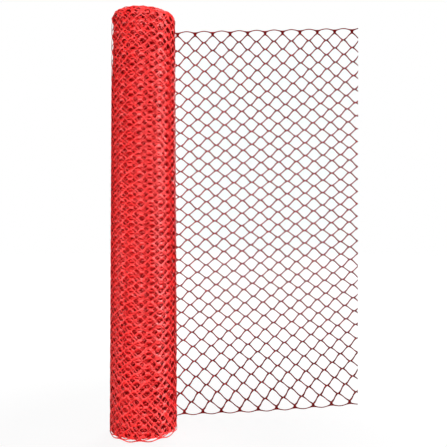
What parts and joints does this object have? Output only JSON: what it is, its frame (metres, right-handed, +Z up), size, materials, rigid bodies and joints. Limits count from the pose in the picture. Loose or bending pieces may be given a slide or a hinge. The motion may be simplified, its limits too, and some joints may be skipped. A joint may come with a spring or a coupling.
{
  "type": "roll of plastic safety fencing",
  "caption": "Upright roll of diamond-mesh plastic safety fencing with an open bore, its last stretch unwound flat behind it to a straight cut end.",
  "frame": {"origin": "on the roll's axis, at the floor that the outermost turn stands on", "axes": "+Z up along the roll's axis; +X away from the roll along the unwound stretch; +Y towards the side of the roll that the stretch leaves"},
  "size_m": [0.7704, 0.199, 1.2391],
  "materials": {
    "fence_plastic": "moulded high-visibility red-orange polyethylene, slightly glossy"
  },
  "bodies": {
    "root": {"wound_roll": "fence_plastic", "run_near_roll": "fence_plastic", "run_cut_end": "fence_plastic"}
  },
  "joints": []
}
